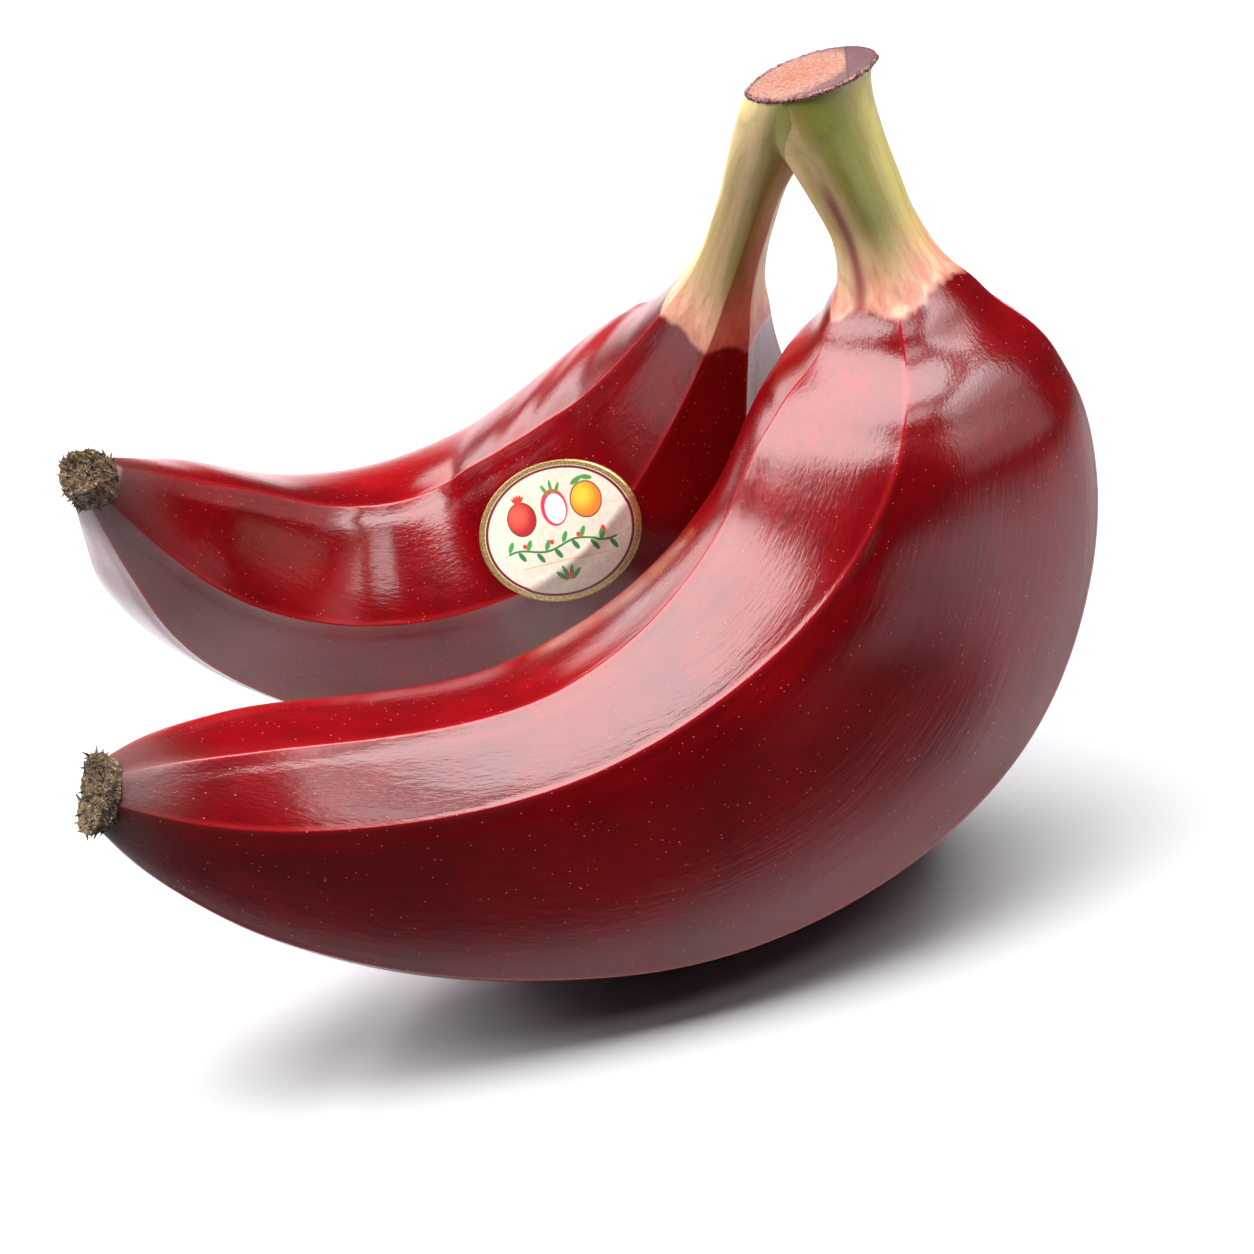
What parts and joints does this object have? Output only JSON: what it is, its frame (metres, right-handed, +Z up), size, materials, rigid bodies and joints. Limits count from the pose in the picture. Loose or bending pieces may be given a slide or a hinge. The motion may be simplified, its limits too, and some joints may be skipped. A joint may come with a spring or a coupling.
{
  "type": "bunch of bananas",
  "caption": "Small bunch of plump red bananas joined at a cut crown, lying splayed on their curved bellies",
  "frame": {"origin": "middle of the bounding box, on the surface that the bunch rests on", "axes": "+Z up, +X from the tips towards the crown's side, -Y towards the front finger"},
  "size_m": [0.1338, 0.1162, 0.1139],
  "materials": {
    "peel": "glossy waxy crimson peel, olive green stem",
    "crown": "olive green stem, pinkish tan cut face",
    "cork": "dry, rough, dark brown cork",
    "label": "satin cream paper with a gold rim"
  },
  "bodies": {
    "root": {"finger_front": "peel", "finger_rear": "peel", "crown": "crown", "blossom_end_front": "cork", "blossom_end_rear": "cork", "label": "label"}
  },
  "joints": []
}
